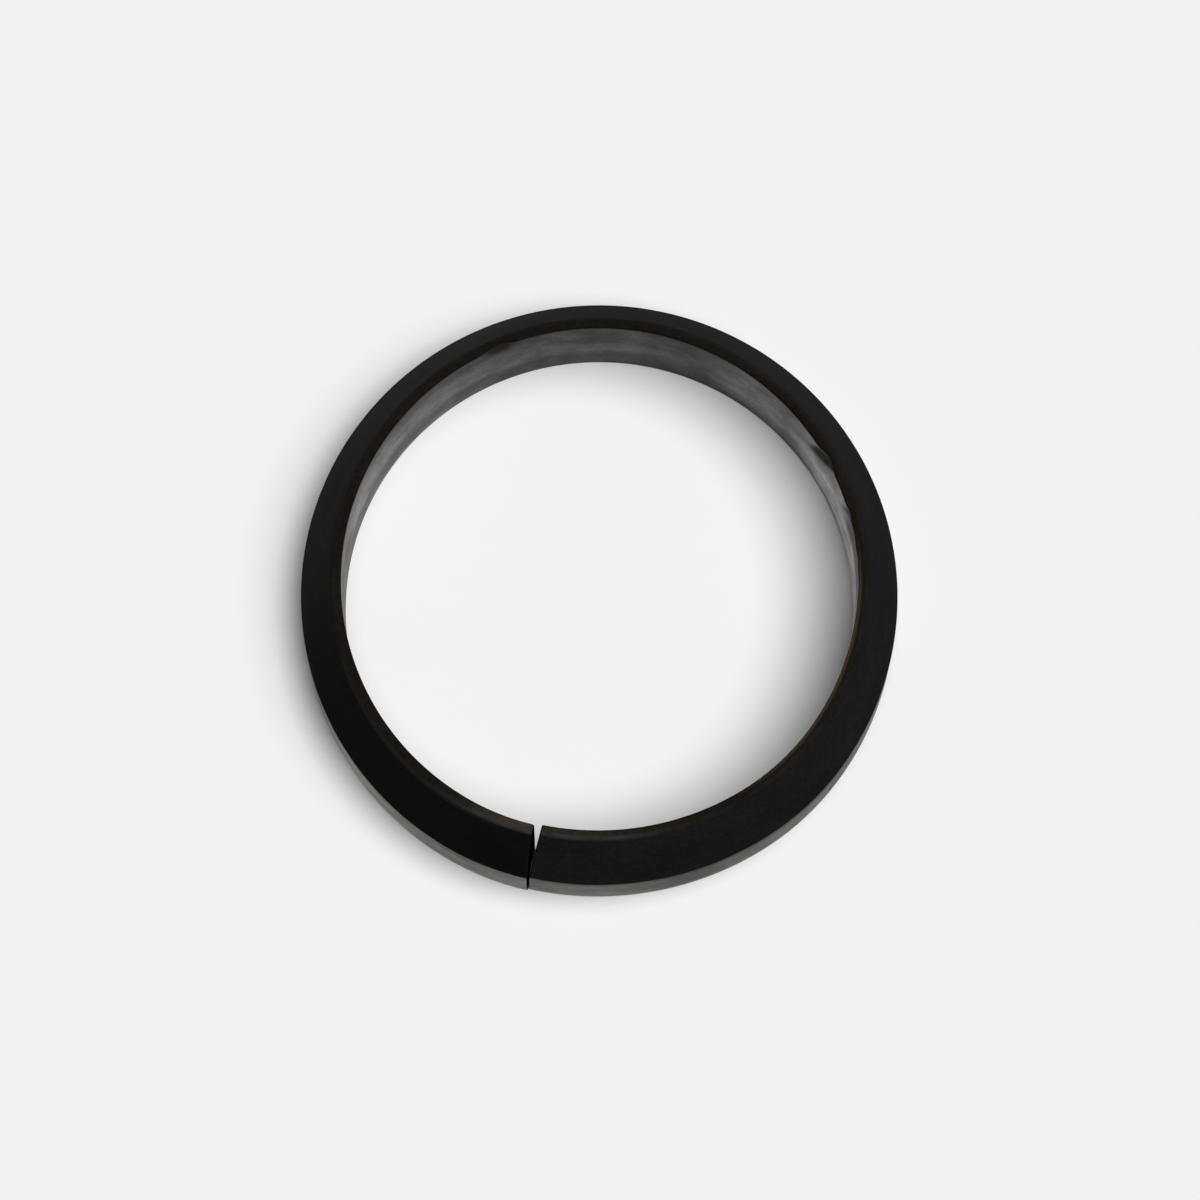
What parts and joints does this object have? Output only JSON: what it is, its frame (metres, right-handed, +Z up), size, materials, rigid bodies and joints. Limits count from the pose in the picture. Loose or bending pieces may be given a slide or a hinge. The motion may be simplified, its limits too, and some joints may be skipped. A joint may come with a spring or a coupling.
{
  "type": "split retaining ring",
  "caption": "Split retaining ring with a plain round bore, a tapered outer face above an upright band, and one narrow slit.",
  "frame": {"origin": "centre of the bore in the flat bottom face, which is the wide end", "axes": "+Z up the bore axis towards the narrow end; the slit lies 103 degrees clockwise from +X seen from above"},
  "size_m": [0.0334, 0.0332, 0.008],
  "materials": {
    "ring": "dull black, moulded, with a low sheen at grazing angles"
  },
  "bodies": {
    "root": {"split_ring": "ring"}
  },
  "joints": []
}
